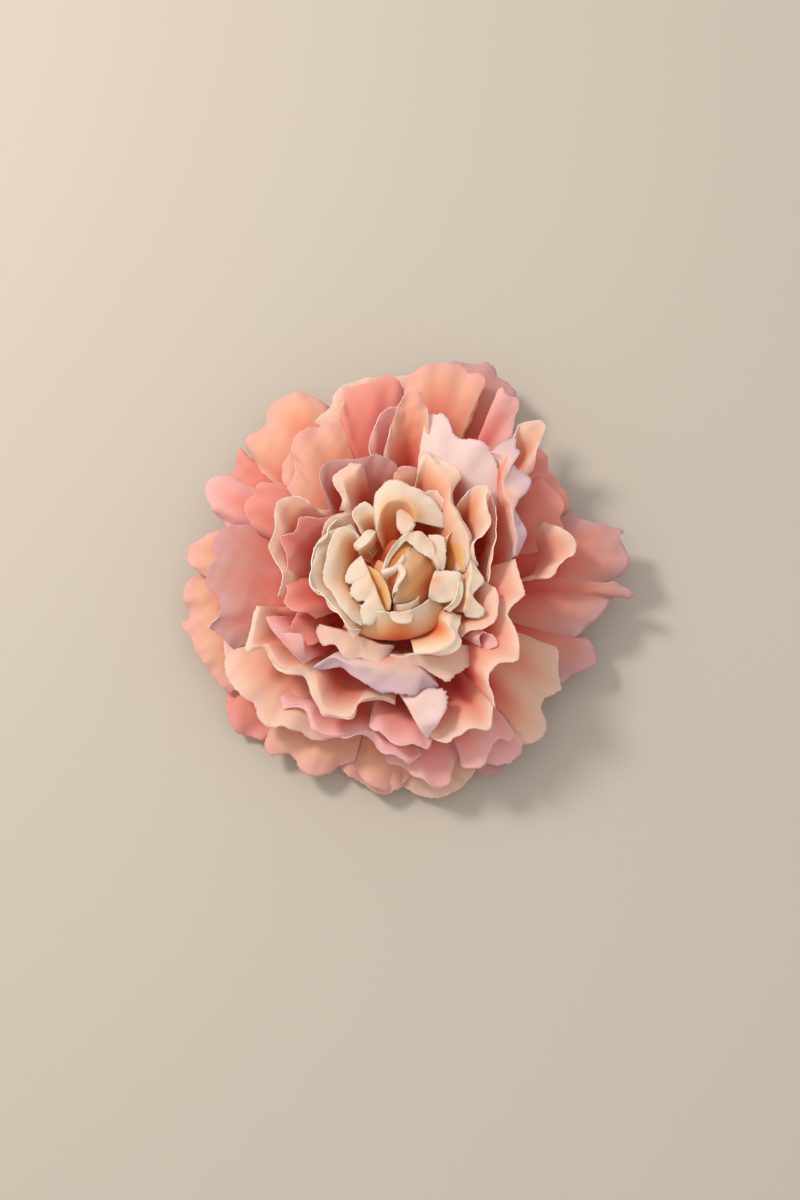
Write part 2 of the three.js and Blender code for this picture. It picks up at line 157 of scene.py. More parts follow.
OUTER_MIDDLE = [
    # Greyed pink: painted shade on this petal.
    petal([(-28, 14), (-32, 14.5), (-36.5, 14.3), (-38.5, 13.7), (-40.5, 12), (-41.5, 9.8),
           (-40.8, 7.3), (-40.6, 6), (-42, 4), (-42.7, 1.5), (-42, -0.8), (-39.7, -2.7), (-39, -5.5),
           (-39.6, -7.5), (-41, -9), (-41.3, -10), (-38.5, -12), (-36, -15)], 13, "pink_painted_shade"),
    petal([(-37, -11), (-38, -13.5), (-37.8, -17), (-37.5, -19.5), (-36.8, -21.7), (-35.5, -23.5),
           (-33.5, -25.8), (-31.5, -27), (-30.4, -28.5), (-30, -30.5), (-28.8, -31.8), (-27, -32.4),
           (-25, -32.2), (-23, -33), (-20.8, -33.5), (-19.2, -34.8), (-17.5, -35.5), (-15, -35),
           (-13, -34)], 11, "cream_tip"),
    petal([(-24, 24), (-27, 24.8), (-29, 24.5), (-31, 24.7), (-32, 23.8), (-32.3, 22), (-34.2, 20.6),
           (-34.7, 19), (-34.3, 17), (-33.2, 15), (-32.5, 13.5), (-31, 12)], 15, "coral"),
    petal([(-25, 22), (-26.2, 25.5), (-26.2, 28.5), (-25.3, 31), (-24, 33), (-22, 34)], 14, "peach"),
    petal([(-26, 22), (-24, 25.5), (-23.3, 27.5), (-23.6, 30), (-24.5, 32.5), (-24.3, 34.5),
           (-23.3, 36.2), (-21.5, 37.8), (-19.3, 38.8), (-16.5, 39), (-14.5, 39.7), (-13, 41)], 16,
          "peach"),
    petal([(-20, 37), (-19, 40), (-17, 42.3), (-15.7, 43.5), (-14.7, 44.8), (-14.6, 46.5),
           (-13.5, 48.8), (-12, 49.7), (-10, 50.2), (-8, 50.8), (-5.5, 51), (-3, 50)], 12, "cream_tip"),
    petal([(-14, 37), (-13, 42), (-12.5, 45), (-11.7, 47.8), (-10.5, 48.8), (-8.5, 49.3), (-5.5, 49.8),
           (-4.5, 51), (-3.3, 51.9), (-2, 51.7), (-0.5, 50.7), (0.5, 49.5), (2, 46.5)], 15, "coral"),
    petal([(1.5, 45), (1.8, 49.5), (2.7, 51.7), (4, 53), (6.5, 54.2), (9, 54.8), (10, 55.2), (12, 54.8),
           (14.5, 54.3), (16, 53.3), (16.5, 52.1), (19, 52.2), (20.3, 51), (20.4, 49.5), (19.3, 47),
           (18, 44), (17, 40)], 15, "peach"),
    petal([(21.5, 35), (22.5, 41), (23, 45), (23.2, 47.5), (24.4, 48.6), (25, 46.9), (26.2, 46.3),
           (27.6, 46), (28.2, 45), (27.6, 43), (27, 40.5), (26.5, 37.5), (26, 34)], 17, "pink"),
    petal([(26, 33), (26.8, 36.5), (27.8, 38.7), (28.8, 39.7), (31, 40), (33, 40.2), (34, 39),
           (33.8, 37.3), (32.8, 35), (32, 33.3), (31.5, 31), (31, 28)], 18, "cream_tip",
          profile="slope"),
    petal([(32, 26), (35.5, 23), (37.3, 20.5), (37.5, 18), (36.5, 16), (37.5, 13), (36, 9)], 14,
          "coral"),
    petal([(-3, -38), (-2, -40.3), (0, -40.8), (2, -42), (3.5, -43.3), (5.5, -44), (7, -45.1),
           (9, -45.6), (11, -44.8), (11.4, -42.8), (12, -40.5), (12.7, -38), (13, -35.5)], 9, "pink"),
    petal([(15, -34), (13.6, -38), (13.5, -40.5), (14.5, -41.4), (17, -41.4), (18.8, -40.3),
           (19.5, -38.3), (20.5, -36), (22, -35), (24, -35.5), (25.5, -33.5)], 12, "pink"),
]

OUTER_UPPER = [
    petal([(-5.5, 28), (-6.3, 31.5), (-6.6, 34.5), (-6, 37), (-5, 39.5), (-4, 41.7), (-2.5, 43.3),
           (-0.7, 43.7), (1, 43)], 20, "pink", profile="long_slope"),
    petal([(-4, 29), (-2.5, 35), (-1.3, 39.5), (-0.2, 43.3), (1, 45.8), (2, 47.8), (3, 49), (4, 49),
           (5, 47.5), (6, 45.3), (6.8, 43), (7, 39.5), (7.4, 36), (7.3, 32)], 23, "peach",
          profile="long_slope"),
    petal([(6.2, 38), (6.4, 42.3), (8, 41.7), (10.5, 41.3), (11.8, 40.2), (12.3, 38), (13, 36.6),
           (14.5, 35.6), (17.5, 35.5), (19.3, 34.7), (21, 33), (22.3, 30.5), (23.3, 27), (24, 24),
           (24, 20), (23.5, 17)], 22, "blush", profile="broad_lip"),
    petal([(33, 15), (36.8, 13.5), (38.6, 12.2), (39.9, 10.2), (39.8, 8.3), (39.1, 6.8), (37.3, 5.7),
           (35.8, 4.4), (34.7, 2.6), (33.6, 1.6), (32.2, 1.6), (30.8, 2.4), (29.5, 2)], 18.5, "rim",
          profile="bowl"),
    petal([(-25, -26), (-24.8, -28.3), (-23.3, -28), (-21, -28), (-19.8, -29), (-19.1, -31),
           (-18.3, -33), (-16.7, -34.3), (-14, -34.7), (-11, -34.5), (-8.7, -34), (-7, -34.3),
           (-5.5, -35.5), (-4.3, -37.3), (-3, -38.3), (-0.8, -38.5), (1, -39.5), (2.6, -40.5),
           (5, -38.5)], 14, "pink",
          fold=[(-25, -25.5), (-24, -27), (-22.5, -27.3), (-20.5, -27.4), (-19, -28.5), (-18.4, -30.5),
                (-17.6, -32.5), (-16.2, -33.8), (-13.8, -34.2), (-10.8, -34), (-8.7, -33.4),
                (-6.2, -33.2), (-4.5, -34.2), (-3.2, -36), (-1.7, -37), (0, -37.5), (1.8, -38.8),
                (3, -39.8), (5, -38)], fold_height=14.7),
    petal([(-31, -5), (-32.3, -10), (-33.2, -15), (-31.6, -15.2), (-29.8, -15), (-28.7, -15.8),
           (-27.7, -17.5), (-26.5, -19.4), (-24.2, -20.6), (-22, -20.8), (-20.5, -21.2), (-19.5, -23),
           (-18.6, -25.3), (-17.5, -27.5), (-16.3, -29.6), (-14.5, -30.2), (-11, -30.7), (-9.6, -30.4),
           (-9, -29.3), (-8.4, -27.7), (-7, -26.7), (-4.5, -26.4), (-2, -26.7), (-0.6, -27.5)], 19,
          "rim",
          fold=[(-30.5, -5), (-31.5, -10), (-32, -14), (-30.8, -14.3), (-29, -14), (-27.9, -15),
                (-27, -16.7), (-25.6, -18.7), (-23.7, -19.2), (-21.5, -18.9), (-19.8, -18.9),
                (-18.2, -20.7), (-17.4, -23), (-16.8, -26), (-15.8, -28.8), (-14.2, -29.6),
                (-11.2, -30.1), (-9.9, -29.8), (-9.3, -28.7), (-8.2, -27), (-6.3, -26), (-4, -25.6),
                (-1.8, -25.8), (-0.5, -26.8)], fold_height=20),
    petal([(18.3, -14), (17.6, -16.5), (16.8, -18.5), (17.5, -20.5), (18.7, -23), (19.7, -25.5),
           (20.5, -27.5), (20.4, -30), (20.2, -32.5), (19, -33.2), (17.3, -32.6), (15.5, -32.8),
           (13.8, -34), (12, -35), (10.7, -36), (8.5, -35.3), (7, -34), (6.5, -31)], 19, "rim",
          profile="long_slope"),
    petal([(5.3, -23.8), (9.3, -23.8), (10.6, -25), (10.8, -26.8), (10.2, -29), (8.8, -31.2),
           (7.4, -33.3), (6.7, -34.8)], 20.5, "blush", profile="lean_out",
          fold=[(0.5, -25), (1.3, -26.7), (2.3, -28.5), (3.4, -30.4), (4.4, -32.2), (5.4, -33.7),
                (6.5, -34.7)], fold_height=21.5),
    petal([(-4, -27), (-5.5, -29), (-6.3, -31.5), (-5.5, -33), (-3.9, -33.6), (-2.2, -35),
           (-0.8, -36.1), (1, -36.4), (3, -36.2), (4.8, -36.8), (6, -37.3), (6.9, -36.5), (7.2, -34),
           (7, -31)], 16.5, "pink", profile="long_slope"),
]

MIDDLE_LOWER = [
    petal([(21, 32), (23.3, 34), (25.8, 35.5), (27, 36), (27, 33.5), (28, 32), (26.2, 30), (27, 28),
           (29, 27), (30.3, 25), (29.3, 23), (27.5, 21.5), (26.5, 20), (26.5, 18), (27.5, 15.7),
           (28.6, 13.3), (28.8, 11.2), (27.7, 8.8), (26.7, 6.8)], 24, "lilac_tip", profile="lean_out",
          fold=[(22.4, 32), (24, 31), (23.7, 28), (23.8, 24.5), (24.2, 21.5), (25.4, 19), (26, 15.3),
                (26.6, 11.6), (26.3, 8.8), (26, 6.8)], fold_height=25.5),
    petal([(26.3, 6), (26.7, 3.5), (27.3, 1.6), (27.8, -0.5), (28.2, -2.1), (26.8, -3.8), (25.2, -5),
           (24.3, -6.8), (25, -8.5), (26, -10.5), (26.6, -13.5), (26.6, -16), (26, -17.6), (24, -17.8),
           (22.5, -17.9), (21, -19), (20, -20.7), (19.8, -22.5), (20.3, -25), (21.2, -28)], 25.5, "rim",
          profile="long_slope"),
    petal([(-15, 18), (-16.5, 17.8), (-18, 18.3), (-19.7, 19.2), (-20.8, 20.4), (-22.2, 21.2),
           (-23.6, 21.3), (-25.4, 21), (-26.8, 20.4), (-27.6, 18.9), (-27.8, 17), (-27.6, 14.7),
           (-27.8, 12.4), (-28.3, 10.9), (-29, 9), (-28.6, 7.9), (-27.5, 6), (-26.4, 4.2), (-25.7, 2.4),
           (-25.8, -0.2), (-26.6, -2.8)], 25, "cream_tip"),
    petal([(-15, 16.5), (-17.5, 16), (-19.6, 16.2), (-22, 16.2), (-22.4, 15), (-23.1, 12.8),
           (-25.2, 11.9), (-26.3, 11.5), (-25.9, 9.8), (-25, 7.9), (-24.6, 5.7), (-24.6, 3.5),
           (-25.3, 1.3)], 25, "coral"),
    # Greyed pink: painted shade on this petal.
    petal([(-16, 19), (-16.3, 21.5), (-17.3, 24), (-17.9, 26.5), (-17.4, 28.3), (-16, 29.8),
           (-13.5, 30.3), (-10, 30.5), (-7, 31), (-5.3, 31.8), (-3.7, 31.3), (-1.5, 30.1), (-0.2, 28.8),
           (0.2, 26)], 25.5, "pink_painted_shade"),
    petal([(-28.6, -7.5), (-27.8, -9.5), (-27, -11), (-25.8, -11.3), (-23.8, -11.2), (-21.8, -11.3),
           (-20.8, -11.8), (-20.5, -13.5), (-20.4, -16), (-20.4, -18.3)], 23.5, "pink",
          fold=[(-28.9, -7.5), (-28.3, -9.5), (-27.3, -11), (-26, -12.7), (-24.6, -14.6),
                (-22.9, -16.3), (-21.3, -17.7), (-20.6, -18.5)], fold_height=24.5),
    petal([(-18.8, -19.7), (-15.6, -19.5), (-13.5, -19.2), (-12.1, -19.2), (-10.4, -20.6),
           (-8.4, -21.8), (-6.7, -22.9), (-5, -24.1), (-3.6, -24.8), (-1.9, -24.6), (-0.2, -25),
           (1.5, -25.2), (3.6, -25.5), (5.4, -24), (7.4, -23.9), (8.9, -23.4)], 21, "lilac_tip",
          fold=[(-19, -19.5), (-16.9, -18.1), (-14.9, -16.7), (-13.2, -17), (-11.8, -17.8),
                (-10.1, -18.3), (-7.4, -18.8), (-4.3, -18.7), (-1.3, -18.7), (1.5, -18.8), (3, -19.1),
                (5, -19.8), (7.1, -21.3), (8.9, -23.3)], fold_height=22.5),
]

MIDDLE_MIDDLE = [
    petal([(20, 24), (20.9, 22.5), (21.5, 20), (22, 17.7), (22.3, 14.5), (22.1, 12), (21.6, 9.5),
           (21.2, 7), (20.8, 4.5), (20.5, 2), (19.8, -1)], 26.5, "cream_tip"),
    petal([(13.5, 19), (15.4, 22), (16.7, 23.1), (18.2, 23.9), (19.8, 23.8), (20.5, 23), (20, 21.5),
           (20, 20), (20.5, 17.7), (21.1, 15.7), (20.8, 14), (19.7, 12.5), (18.2, 11), (17.2, 9.3),
           (17.3, 7), (18, 4.5)], 28, "cream", profile="slope"),
    petal([(-13.2, 17.7), (-12.5, 20), (-13.3, 22), (-14.5, 24), (-14.6, 26), (-13.2, 27.5),
           (-11.7, 28.5), (-10.5, 30)], 26.5, "cream_tip", profile="slope",
          fold=[(-12.2, 17.7), (-11.6, 20.5), (-12, 23), (-12.4, 24.6), (-11.7, 25.9), (-10, 26.7),
                (-9, 28), (-8, 29.5)], fold_height=27.5),
    petal([(18.5, 2), (20, 0.2), (21.5, -0.6), (22.2, -2.3), (22.2, -5), (21.9, -7.5), (21, -8.8),
           (19.5, -9.9), (17.5, -10.5), (15.5, -10.9), (14, -12.2)], 26.5, "cream_tip",
          profile="spoon"),
    petal([(-2, -16.5), (-1, -17.6), (0.4, -18.5), (2.9, -18.9), (5, -19), (6.8, -20.2), (8.3, -21),
           (10, -22), (11.3, -22.2), (12.5, -20.9), (14, -19.8), (15.7, -18.7), (16.3, -17), (16, -15)],
          22, "cream_tip", profile="lean_out",
          fold=[(-1.7, -16.2), (1, -16.6), (3, -15.9), (5, -16.1), (6.8, -16.2), (9, -16),
                (10.8, -15.3), (12.6, -14.7), (14, -13.9), (15.5, -14.2)], fold_height=23.5),
    petal([(-17.7, -10), (-17.4, -12), (-16.3, -14.2), (-14.8, -13.8), (-13.5, -14.3), (-11.8, -16.7),
           (-10.3, -17.8), (-8.2, -17), (-6.6, -17.8), (-4.2, -18.5), (-3, -17.5), (-1.8, -16),
           (-0.7, -14.4)], 22, "cream_tip", profile="lean_out",
          fold=[(-17.2, -9.2), (-15.4, -9.7), (-13.6, -10.2), (-11.9, -10.8), (-10.2, -11.2),
                (-8.5, -11.9), (-7, -12.5), (-5.3, -13.2), (-3.6, -13.8), (-0.8, -14.1)],
          fold_height=23.5),
    petal([(-26, 3), (-24.5, -1), (-25, -4), (-23, -6), (-20, -6.5), (-18, -8)], 24, "coral",
          profile="long_slope"),
    petal([(-22, -6), (-23.5, -10), (-22, -13), (-19, -14), (-16.5, -13)], 21, "coral",
          profile="long_slope"),
    petal([(18.2, -14.5), (17.9, -12.5), (18.5, -11.2), (20, -11), (21.2, -12), (21.8, -13.7),
           (20.8, -14.6), (19.5, -15.1)], 25, "pink", profile="spoon"),
]

MIDDLE_UPPER = [
    petal([(4.5, 28), (5, 30), (6, 31.3), (7.1, 32), (8, 30.9), (10.4, 30.3), (12, 29.4), (13.5, 28.4),
           (14.5, 26.5), (14.2, 25.2), (13.2, 24), (12.5, 22.5), (12.4, 20.5), (13, 18.7), (14, 16.8),
           (15.2, 14.3), (16.3, 12), (16.6, 9.5), (16.3, 6.5), (15.5, 3.5)], 27.5, "cream",
          profile="slope",
          fold=[(4.5, 27.5), (5.2, 29.2), (6.2, 30.6), (7.1, 31.5), (7.8, 30.5), (8.6, 29.3),
                (9.5, 27.6), (10.4, 26.2), (11.3, 24.7), (11.9, 23.5), (12, 22.3), (12, 21),
                (11.9, 19.8), (12.6, 18.2), (13.6, 16.3), (14.8, 13.9), (15.8, 11.7), (16.1, 9.3),
                (15.9, 6.5), (15.1, 3.5)], fold_height=28.5),
    petal([(-1, 27), (0.5, 28.5), (2.5, 28.7), (4, 28.3), (5.5, 27)], 26.5, "peach", profile="slope"),
    petal([(-17, 9.5), (-17, 12.5), (-16.4, 14.7), (-15.2, 16.1), (-13.5, 17), (-11.5, 17.4),
           (-9.8, 17)], 27, "cream_tip", profile="slope"),
    petal(around((135, 17), (147, 17.5), (155, 17), (163, 18.5), (172, 18.5), (181, 18.5), (187, 19),
                 (193, 19), (202, 17), (210, 16), (217, 16), (225, 16.5), (233, 17), (240, 16)), 28.5,
          "heart", level=HEART_LEVEL),
]

INNER_LOWER = [
    heart_petal([(-10, 10), (-12, 9.5), (-14.5, 8.5), (-17, 6.5), (-17.5, 4), (-18.5, 0), (-19, -2.5),
                 (-18.5, -4.5), (-17, -6), (-15.5, -7), (-14.5, -9), (-12, -11), (-11, -13), (-10, -15),
                 (-9, -16)], 28, "spoon"),
    heart_petal([(-9.5, 12.5), (-13, 12), (-15, 10.5), (-16, 8.5), (-16, 6)], 27, "spoon", dye_and_shade="cream"),
    heart_petal([(-9, 7), (-9.5, 8.5), (-11.5, 9.5), (-13, 9), (-14, 7.5), (-15, 4.5), (-15.5, 1.5),
                 (-16, -1.5), (-15.5, -4), (-14, -5.5), (-12, -9), (-9.5, -12), (-7.5, -13)], 29,
                "spoon"),
    heart_petal([(3, -19.5), (7, -19.6), (10.5, -19.5), (12.7, -18.5), (13.6, -16.5), (12.7, -14.5),
                 (13.2, -12.8), (13.6, -10.8)], 26.5, "slope",
                fold=[(3.5, -19.2), (6.6, -19.2), (9, -18.4), (11.4, -16.8), (12, -14.7), (11, -13.2),
                      (11.2, -11.5), (12.3, -10.4)], fold_height=27.5),
    heart_petal([(16, 3), (16.3, 1), (17.5, -1), (18.5, -2.7), (18, -4), (16.5, -5.5), (16, -7),
                 (17, -8), (18.5, -9.5), (18, -11), (16.5, -11.5), (14.5, -11)], 27, "lean",
                fold=[(15.7, 2.7), (15.7, 0), (15.5, -2.7), (15, -5.5), (14.6, -8), (14, -10)],
                fold_height=28),
    heart_petal([(5, 17), (7, 18), (8.7, 18), (9.6, 16.5), (11.5, 14.3), (13.2, 12.5), (13.5, 10)],
                27.3, "slope", dye_and_shade="cream"),
]

INNER_MIDDLE = [
    heart_petal([(-4.8, 8.4), (-5.1, 12.3), (-5.3, 14.6), (-5, 17), (-4, 18.7), (-2.5, 20), (-1, 20.5),
                 (1, 20), (3, 19), (5, 18), (6.6, 16.7), (8, 15.5), (9.2, 14), (10.3, 11.5), (10.4, 9)],
                27.5, "lean",
                fold=[(-4.5, 8.4), (-4.2, 11), (-3.4, 13.5), (-2, 15.2), (0.2, 15.8), (2.1, 15.2),
                      (3.3, 13.6), (3.6, 12), (3.7, 10.7)], fold_height=29.5),
    heart_petal([(-5.2, 12), (-5.4, 14), (-7, 15.3), (-8.5, 14.6), (-9.8, 13), (-9.5, 11.4),
                 (-8.7, 9.6), (-8.2, 8.2)], 28.5, "spoon"),
    heart_petal([(-4.9, 8.4), (-6.5, 8.7), (-8, 7.3), (-9.4, 5.5), (-9.1, 4.1)], 27.8, "upright",
                fold=[(-4.8, 8.2), (-5.5, 6.8), (-7.2, 5), (-8.7, 3.9)], fold_height=28.3),
    heart_petal([(-8, 2.7), (-9.7, 1.1), (-10.8, -0.5), (-11.4, -2.7), (-10.6, -3.7), (-9.7, -3.7),
                 (-10.2, -4.8), (-10, -6.4), (-8.7, -7.5), (-6.9, -7.8), (-7.9, -9.4), (-7.7, -11.6),
                 (-6.9, -12.9), (-5.4, -12.9), (-4.1, -11.6), (-2.6, -10.4)], 27, "upright", ripple=0.1,
                fold=[(-7.8, 2.7), (-6.9, 0.7), (-5.9, -1.6), (-4.6, -5), (-3.5, -8), (-2.6, -10.2)],
                fold_height=28.6),
    heart_petal([(-8, -9), (-5, -10.2), (-2.6, -10.4), (-1.6, -11), (-0.7, -12.3), (1, -12.7),
                 (2.8, -12.3), (3.4, -10.7), (4.5, -9.8), (6.2, -8.7), (7.1, -7.2), (7.7, -6.4)], 27.3,
                "belly", ripple=0.1, ends=2,
                fold=[(-8, -8.5), (-5, -9.8), (-2.6, -10), (-0.3, -9.8), (1.9, -9.7), (4.1, -8.9),
                      (6.2, -7.5), (7.6, -6.4)], fold_height=28),
    heart_petal([(8.2, -0.5), (11, -0.7), (13.5, -1.4), (13.5, -3.7), (13, -6), (12, -7.3), (9.7, -8),
                 (7.1, -7.1)], 27.6, "upright", ripple=0.1,
                fold=[(8.1, -0.7), (7.6, -2.3), (7.1, -4.6), (6.8, -6.6)], fold_height=28.4),
    heart_petal([(13.5, -1.8), (14, -4), (13.9, -6.4), (13, -8.4), (11.2, -10)], 27.8, "upright",
                fold=[(13.2, -2.2), (12.8, -4.5), (12.4, -6.4), (11.5, -8), (10, -9.3)],
                fold_height=28.4),
    heart_petal([(10.4, 4), (10.9, 7), (12.3, 9), (13.8, 9), (14.4, 6), (14.6, 2.5), (14.6, -1)], 27.3,
                "slope", dye_and_shade="gold"),
]

INNER_UPPER = [
    heart_petal([(-2.4, -0.9), (-2, 0.6), (-1.5, 1.9), (-0.8, 3.1), (0.1, 4.3), (1.7, 6.1), (2.9, 5.3),
                 (4.5, 3.7), (6, 2.6), (7.5, 1.6)], 28.6, "upright", ripple=0.2,
                fold=[(-3.3, -0.9), (-2.9, 0.8), (-2.5, 2.2), (-1.8, 3.8), (-0.9, 5.3), (1, 7.4),
                      (3.6, 8.6), (5.9, 7.8), (7.7, 5.6), (8, 3)], fold_height=29.2),
    heart_petal([(6.6, 7.3), (8.8, 7.5), (10.1, 6.8), (10.4, 4.1), (10.3, 1), (9.8, -0.7), (9, 0)],
                27.4, "upright", ripple=0.1,
                fold=[(6.7, 7.1), (6.6, 5), (7.1, 3.2), (8.2, 1.4), (9, -0.2)], fold_height=28.3),
    heart_petal([(-0.3, 13), (-0.4, 10.5), (0.2, 8.6), (1.4, 7.7), (2.8, 8.2), (3.7, 9.8), (3.9, 13)],
                27, "upright", fold=[(-0.6, 16.5), (1, 17), (2.8, 16.8), (4.4, 15.5)],
                fold_height=27.8),
    heart_petal([(-7.1, 0.7), (-5.9, 0.2), (-4.1, -1.1), (-2.6, -3.2), (-1.8, -5.5), (-1.3, -7.8),
                 (-1.6, -9.6)], 27.6, "hood", toward=205, ripple=0.1, dye_and_shade="gold"),
    heart_petal([(5.1, -5.8), (4.1, -7.1), (2.3, -8), (0.6, -8.3), (-0.9, -8.4)], 27, "hood",
                toward=-90, ripple=0.1),
]

BUD = [
    heart_petal([(2.8, 5.3), (1.5, 2.7), (0.5, 0), (-0.3, -2.7), (-0.7, -5.9), (-1, -8.2)], 29, "dome",
                toward=0, dye_and_shade="bud", ripple=0.1, ends=2.5),
    # Darkened gold: painted shade on the bud's right side, away from the key light.
    heart_petal([(3.5, -6), (2.2, -3), (1.9, 0), (2.4, 3), (3.5, 6)], 28.3, "deep_dome", toward=170,
                dye_and_shade="gold_painted_shade", ripple=0.1, ends=2),
    heart_petal([(-3.6, -0.6), (-2.4, -0.2), (-1.2, 0.1), (-0.2, 0.8), (0.6, 2), (1.2, 3.2)], 29.6,
                "curl", ripple=0.5, toward=-70),
    heart_petal([(0.4, 1), (1.4, 0), (1.8, -1.2), (1.2, -2.6), (0.2, -4), (0, -5.4)], 29.8, "curl",
                ripple=0.5, toward=200),
]

# A petal's section from its free edge, or its fold, back to its foot: places relative to the edge, outwards
# and upwards. From the last one, the petal runs on to its layer's hub.
PROFILES = {
    "low": [(-4, 1.2), (-11, 2.4), (-22, 3.5)],
    "spread": [(-4, 0.6), (-11, 0.2), (-20, -1.5)],
    "wall": [(-1, -3), (-2, -8), (-4, -14)],
    "spoon": [(-2, -0.7), (-4, -2.2), (-5.5, -6)],
    "broad_lip": [(-3, 0.6), (-8, 2.2), (-9.6, 2.2), (-10.4, 0.6), (-11.5, -4), (-14, -10)],
    "slope": [(-1.5, -0.6), (-4.5, -3.2), (-7, -9)],
    "bowl": [(-2.5, -1), (-6, -4), (-9, -9)],
    "long_slope": [(-3, -0.8), (-8.5, -3.5), (-13, -9)],
    "lean_out": [(-0.3, -0.8), (-1.5, -4), (-5, -11)],
    "lean": [(-0.3, -0.7), (-1.5, -3), (-4.5, -6)],
    "upright": [(-0.2, -0.7), (-0.3, -3), (-1, -6)],
    "belly": [(0.5, -0.8), (3.5, -2.6), (6, -5), (3, -6.5)],
    "hood": [(1, -0.3), (2.2, -1), (3, -3), (3.5, -6)],
    "dome": [(2.5, 0.4), (5.5, -1.2), (8, -4), (8.5, -7)],
    "deep_dome": [(3.3, 0.3), (4.8, -0.9), (6, -3), (7.5, -7)],
    "curl": [(0.4, 0.1), (0.9, 0.1), (1.2, -0.4), (1.2, -2)],
}

# What a layer's petals share, unless one has its own. foot is a petal's spread at the hub, as a share
# of its spread further up. ends is how far the edge sinks towards a petal's sides, and ripple how
# much it waves. dye_reach is how far down from the edge the dyes run, as a share of the usual. bed is
# how far the calyx or collar that the layer lies on reaches from the middle.
CALYX_REACH = 18.4
COLLAR_REACH = 7.4
PEG_REACH = 2
LAYERS = [
    ("outer_lower", OUTER_LOWER, {
        "profile": "low", "foot": 0.5, "ends": 1.5, "ripple": 1.0, "dye_reach": 2.2, "bed": CALYX_REACH}),
    ("outer_middle", OUTER_MIDDLE, {
        "profile": "spread", "foot": 0.5, "ends": 2.5, "ripple": 0.9, "dye_reach": 2.1, "bed": CALYX_REACH}),
    ("outer_upper", OUTER_UPPER, {
        "profile": "slope", "foot": 0.6, "ends": 3, "ripple": 0.6, "dye_reach": 1.6, "bed": CALYX_REACH}),
    ("middle_lower", MIDDLE_LOWER, {
        "profile": "slope", "foot": 0.7, "ends": 3, "ripple": 0.4, "dye_reach": 1.1, "bed": COLLAR_REACH}),
    ("middle_middle", MIDDLE_MIDDLE, {
        "profile": "wall", "foot": 0.7, "ends": 2.5, "ripple": 0.4, "dye_reach": 1.0, "bed": COLLAR_REACH}),
    ("middle_upper", MIDDLE_UPPER, {
        "profile": "wall", "foot": 0.8, "ends": 2.5, "ripple": 0.35, "dye_reach": 1.0, "bed": COLLAR_REACH}),
    ("inner_lower", INNER_LOWER, {
        "foot": 0.9, "ends": 2, "ripple": 0.3, "dye_reach": 0.75, "bed": COLLAR_REACH}),
    ("inner_middle", INNER_MIDDLE, {
        "foot": 0.95, "ends": 1.5, "ripple": 0.25, "dye_reach": 0.75, "bed": COLLAR_REACH}),
    ("inner_upper", INNER_UPPER, {
        "foot": 1.0, "ends": 1, "ripple": 0.2, "dye_reach": 0.7, "bed": COLLAR_REACH}),
]
BUD_SHAPE = {"foot": 1.0, "ends": 0.5, "ripple": 0.1, "dye_reach": 0.8, "bed": PEG_REACH}

# ---- dyes ----
# Each dye runs from a petal's free edge down to its foot: sRGB colours at these distances from the edge. The
# greyed pink and the darkened gold among them are painted shade.

DYE_STOPS = [0, 2, 5.5, 10, 16]
DYES_AND_PAINTED_SHADES = {
    "coral": [(238, 172, 162), (236, 158, 142), (232, 134, 118), (224, 98, 86), (206, 54, 44)],
    "pink": [(243, 200, 198), (242, 186, 180), (240, 158, 148), (228, 100, 90), (208, 54, 44)],
    "peach": [(238, 190, 178), (240, 192, 164), (238, 162, 134), (228, 102, 86), (208, 54, 42)],
    # A greyed, darker copy of the pink: painted shade for petals that sit in shade.
    "pink_painted_shade": [(216, 172, 172), (220, 164, 154), (228, 144, 128), (222, 100, 88), (206, 54, 44)],
    "cream_tip": [(242, 214, 200), (242, 204, 180), (240, 170, 142), (230, 104, 84), (208, 52, 40)],
    "blush": [(246, 226, 224), (246, 224, 216), (242, 194, 178), (232, 116, 96), (208, 52, 40)],
    "rim": [(244, 220, 204), (240, 192, 168), (236, 152, 132), (224, 94, 82), (206, 50, 40)],
    "lilac_tip": [(224, 198, 208), (240, 212, 200), (240, 176, 152), (230, 106, 86), (208, 52, 40)],
    "cream": [(244, 224, 208), (244, 212, 188), (240, 178, 144), (234, 122, 88), (218, 66, 44)],
    "bud": [(236, 212, 178), (230, 188, 142), (228, 168, 112), (220, 134, 70), (208, 84, 40)],
    "gold": [(242, 210, 160), (240, 188, 118), (234, 160, 86), (222, 118, 58), (208, 78, 40)],
    # A darker copy of the gold: painted shade for the bud's right side, which faces away from the key light.
    "gold_painted_shade": [(238, 196, 138), (232, 166, 100), (214, 110, 54), (192, 68, 34), (174, 48, 26)],
    "heart": [(242, 230, 214), (242, 222, 200), (240, 196, 150), (236, 146, 88), (222, 84, 50)],
}
BROAD_LIP = 9  # width of the turned-over edge of the broad_lip profile
LIP_FADE = 0.35  # how fast the dyes run across a turned-over edge, as a share of the usual
DYE_DRIFT = 0.25
DYE_DRIFT_LENGTHS = 30, 18  # of a petal's edge, and of one wave of drift along it
CUT_EDGE = (252, 234, 220)


def linear(colour):
    share = np.asarray(colour, float) / 255
    return np.where(share <= 0.04045, share / 12.92, ((share + 0.055) / 1.055) ** 2.4)


# ---- petal surfaces ----

